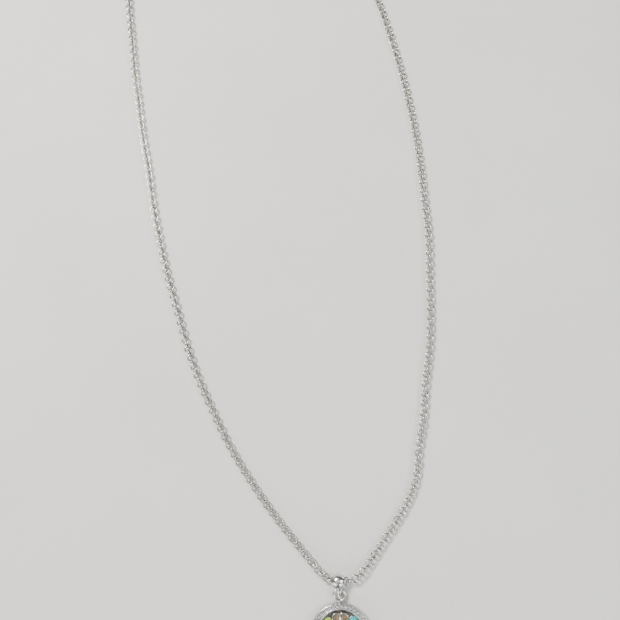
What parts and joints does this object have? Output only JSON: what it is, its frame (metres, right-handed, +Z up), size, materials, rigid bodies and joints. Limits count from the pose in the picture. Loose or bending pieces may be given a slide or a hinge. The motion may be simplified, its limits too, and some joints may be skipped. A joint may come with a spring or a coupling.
{
  "type": "pendant necklace",
  "caption": "Silver necklace of round interlocking links with a round stone-set flower pendant on a tapered bail, laid flat with its lobster clasp open.",
  "frame": {"origin": "centre of the pendant's flat back face, which lies on the table", "axes": "+Y from the pendant towards the bail and along the laid-out chain, +Z up off the table, +X to the right of the pendant's face"},
  "size_m": [0.1025, 0.262, 0.0042],
  "materials": {
    "chain_silver": "polished sterling silver",
    "polished_silver": "polished sterling silver",
    "pendant_silver": "bright-cut sterling silver",
    "clear_stone": "faceted clear stone",
    "turquoise_stone": "polished turquoise cabochon",
    "green_stone": "polished yellow-green cabochon",
    "taupe_enamel": "glossy taupe enamel with fine streaks",
    "white_enamel": "glossy white enamel",
    "spring_steel": "bright steel wire"
  },
  "bodies": {
    "chain_centre": {"chain_centre": "chain_silver"},
    "chain_left_1": {"chain_left_1": "chain_silver"},
    "chain_left_2": {"chain_left_2": "chain_silver"},
    "chain_left_3": {"chain_left_3": "chain_silver"},
    "chain_left_4": {"chain_left_4": "chain_silver"},
    "chain_left_5": {"chain_left_5": "chain_silver"},
    "chain_left_6": {"chain_left_6": "chain_silver"},
    "chain_left_7": {"chain_left_7": "chain_silver"},
    "chain_left_8": {"chain_left_8": "chain_silver"},
    "chain_right_1": {"chain_right_1": "chain_silver"},
    "chain_right_2": {"chain_right_2": "chain_silver"},
    "chain_right_3": {"chain_right_3": "chain_silver"},
    "chain_right_4": {"chain_right_4": "chain_silver"},
    "chain_right_5": {"chain_right_5": "chain_silver"},
    "chain_right_6": {"chain_right_6": "chain_silver"},
    "chain_right_7": {"chain_right_7": "chain_silver"},
    "chain_right_8": {"chain_right_8": "chain_silver"},
    "bail": {"bail": "polished_silver"},
    "pendant": {"back_plate": "pendant_silver", "halo_rim": "pendant_silver", "halo_stones": "clear_stone", "inner_collar": "pendant_silver", "flower_frame": "pendant_silver", "petal_enamel_1": "taupe_enamel", "petal_enamel_2": "taupe_enamel", "petal_enamel_3": "taupe_enamel", "petal_enamel_4": "taupe_enamel", "petal_drops": "white_enamel", "cabochon_cups": "pendant_silver", "cabochon_1": "turquoise_stone", "cabochon_2": "green_stone", "cabochon_3": "turquoise_stone", "cabochon_4": "green_stone", "centre_cup": "pendant_silver", "centre_stone": "clear_stone", "pendant_ring": "polished_silver"},
    "clasp_ring": {"clasp_ring": "polished_silver"},
    "clasp": {"clasp_body": "polished_silver", "clasp_pin": "spring_steel", "clasp_spring": "spring_steel"},
    "clasp_lever": {"clasp_lever": "polished_silver"},
    "end_ring": {"end_ring": "polished_silver"}
  },
  "joints": [
    {"name": "chain_left_1_turn", "type": "hinge", "parent": "chain_centre", "child": "chain_left_1", "pos_m": [-0.00875, 0.01991, 0.00134], "axis": [0, 0, 1], "range_deg": [-8, 35]},
    {"name": "chain_left_2_turn", "type": "hinge", "parent": "chain_left_1", "child": "chain_left_2", "pos_m": [-0.02698, 0.04269, 0.0012], "axis": [0, 0, 1], "range_deg": [-10, 35]},
    {"name": "chain_left_3_turn", "type": "hinge", "parent": "chain_left_2", "child": "chain_left_3", "pos_m": [-0.04127, 0.06811, 0.0012], "axis": [0, 0, 1], "range_deg": [-14, 35]},
    {"name": "chain_left_4_turn", "type": "hinge", "parent": "chain_left_3", "child": "chain_left_4", "pos_m": [-0.05132, 0.09549, 0.0012], "axis": [0, 0, 1], "range_deg": [-18, 35]},
    {"name": "chain_left_5_turn", "type": "hinge", "parent": "chain_left_4", "child": "chain_left_5", "pos_m": [-0.05907, 0.12363, 0.0012], "axis": [0, 0, 1], "range_deg": [-22, 35]},
    {"name": "chain_left_6_turn", "type": "hinge", "parent": "chain_left_5", "child": "chain_left_6", "pos_m": [-0.06474, 0.15227, 0.0012], "axis": [0, 0, 1], "range_deg": [-30, 35]},
    {"name": "chain_left_7_turn", "type": "hinge", "parent": "chain_left_6", "child": "chain_left_7", "pos_m": [-0.06938, 0.18109, 0.0012], "axis": [0, 0, 1], "range_deg": [-30, 35]},
    {"name": "chain_left_8_turn", "type": "hinge", "parent": "chain_left_7", "child": "chain_left_8", "pos_m": [-0.0725, 0.2101, 0.0012], "axis": [0, 0, 1], "range_deg": [-30, 35]},
    {"name": "chain_right_1_turn", "type": "hinge", "parent": "chain_centre", "child": "chain_right_1", "pos_m": [0.0101, 0.02216, 0.0013], "axis": [0, 0, 1], "range_deg": [-35, 10]},
    {"name": "chain_right_2_turn", "type": "hinge", "parent": "chain_right_1", "child": "chain_right_2", "pos_m": [0.02273, 0.04803, 0.0012], "axis": [0, 0, 1], "range_deg": [-35, 12]},
    {"name": "chain_right_3_turn", "type": "hinge", "parent": "chain_right_2", "child": "chain_right_3", "pos_m": [0.02632, 0.07698, 0.0012], "axis": [0, 0, 1], "range_deg": [-35, 16]},
    {"name": "chain_right_4_turn", "type": "hinge", "parent": "chain_right_3", "child": "chain_right_4", "pos_m": [0.0275, 0.10612, 0.0012], "axis": [0, 0, 1], "range_deg": [-35, 20]},
    {"name": "chain_right_5_turn", "type": "hinge", "parent": "chain_right_4", "child": "chain_right_5", "pos_m": [0.02595, 0.13526, 0.0012], "axis": [0, 0, 1], "range_deg": [-35, 24]},
    {"name": "chain_right_6_turn", "type": "hinge", "parent": "chain_right_5", "child": "chain_right_6", "pos_m": [0.02187, 0.16415, 0.0012], "axis": [0, 0, 1], "range_deg": [-35, 30]},
    {"name": "chain_right_7_turn", "type": "hinge", "parent": "chain_right_6", "child": "chain_right_7", "pos_m": [0.01474, 0.19246, 0.0012], "axis": [0, 0, 1], "range_deg": [-35, 30]},
    {"name": "chain_right_8_turn", "type": "hinge", "parent": "chain_right_7", "child": "chain_right_8", "pos_m": [0.0056, 0.22019, 0.0012], "axis": [0, 0, 1], "range_deg": [-35, 30]},
    {"name": "bail_swing", "type": "hinge", "parent": "chain_centre", "child": "bail", "pos_m": [-0.00076, 0.01463, 0.00215], "axis": [-0.9936, -0.1132, 0], "range_deg": [0, 85]},
    {"name": "pendant_swing", "type": "hinge", "parent": "bail", "child": "pendant", "pos_m": [-0.00049, 0.01229, 0.0013], "axis": [-1, 0, 0], "range_deg": [0, 80]},
    {"name": "clasp_ring_turn", "type": "hinge", "parent": "chain_left_8", "child": "clasp_ring", "pos_m": [-0.06479, 0.23784, 0.0014], "axis": [0, 0, 1], "range_deg": [-45, 45]},
    {"name": "clasp_turn", "type": "hinge", "parent": "clasp_ring", "child": "clasp", "pos_m": [-0.06355, 0.23978, 0.0014], "axis": [0, 0, 1], "range_deg": [-45, 45]},
    {"name": "lever_press", "type": "hinge", "parent": "clasp", "child": "clasp_lever", "pos_m": [-0.06157, 0.24195, 0.0011], "axis": [0, 0, 1], "range_deg": [0, 22], "stiffness_Nm_per_rad": 0.0001, "springref_deg": -20.05},
    {"name": "end_ring_turn", "type": "hinge", "parent": "chain_right_8", "child": "end_ring", "pos_m": [-0.00424, 0.24973, 0.00095], "axis": [0, 0, 1], "range_deg": [-20, 20]}
  ]
}
